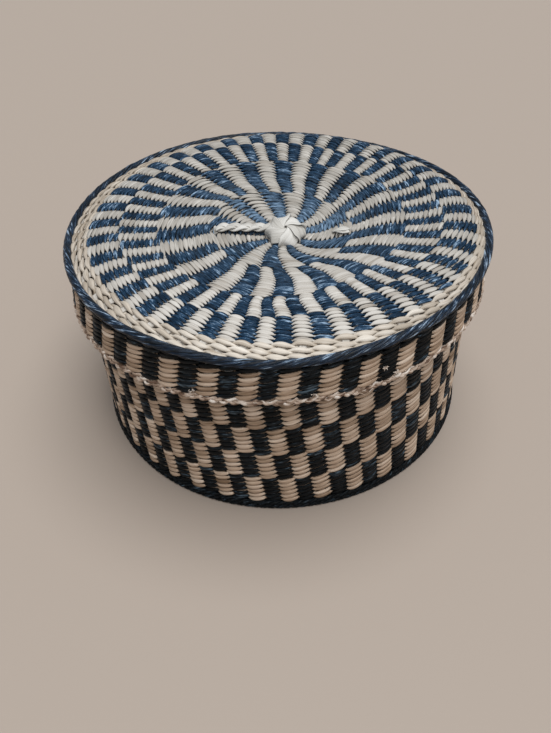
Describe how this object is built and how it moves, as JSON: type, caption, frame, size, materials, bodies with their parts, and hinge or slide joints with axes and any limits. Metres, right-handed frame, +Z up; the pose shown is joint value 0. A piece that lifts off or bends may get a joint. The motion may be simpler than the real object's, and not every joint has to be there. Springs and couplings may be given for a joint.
{
  "type": "lidded basket",
  "caption": "Round twined straw basket with a navy and natural checker weave, and a dished lift-off lid with a corded edge, deep skirt and knotted handle.",
  "frame": {"origin": "centre of the foot, on the table", "axes": "+Z up along the basket's axis; -Y faces the viewer of the picture, +X to the viewer's right"},
  "size_m": [0.1504, 0.1504, 0.0753],
  "materials": {
    "natural_straw": "satin natural straw",
    "navy_straw": "satin dyed straw with glossy fibres",
    "cream_straw": "satin pale leaf strip"
  },
  "bodies": {
    "basket": {"base_start": "natural_straw", "base_ring_1": "natural_straw", "base_ring_2": "natural_straw", "basket_stakes": "natural_straw", "foot_edge": "navy_straw", "wall_band_1_natural": "natural_straw", "wall_band_1_dark": "navy_straw", "wall_band_2_natural": "natural_straw", "wall_band_2_dark": "navy_straw", "wall_band_3_natural": "natural_straw", "wall_band_3_dark": "navy_straw", "wall_band_4_natural": "natural_straw", "wall_band_4_dark": "navy_straw", "wall_band_5_natural": "natural_straw", "wall_band_5_dark": "navy_straw", "rim_courses": "navy_straw", "rim_border": "natural_straw"},
    "lid": {"lid_start": "natural_straw", "lid_stakes": "natural_straw", "lid_ring_1_natural": "natural_straw", "lid_ring_1_dark": "navy_straw", "lid_ring_2_natural": "natural_straw", "lid_ring_2_dark": "navy_straw", "lid_ring_3_natural": "natural_straw", "lid_ring_3_dark": "navy_straw", "lid_ring_4_natural": "natural_straw", "lid_ring_4_dark": "navy_straw", "lid_border": "natural_straw", "lid_edge_rope": "navy_straw", "skirt_courses": "navy_straw", "skirt_band_natural": "natural_straw", "skirt_band_dark": "navy_straw", "skirt_border": "cream_straw", "handle_tail": "cream_straw"},
    "handle": {"handle_knot": "cream_straw", "handle_braid": "cream_straw", "handle_stop": "cream_straw"}
  },
  "joints": [
    {"name": "lid_lift", "type": "slide", "parent": "basket", "child": "lid", "axis": [0, 0, 1], "range_m": [0, 0.05]},
    {"name": "handle_pull", "type": "slide", "parent": "lid", "child": "handle", "axis": [0, 0, 1], "range_m": [0, 0.005]}
  ]
}
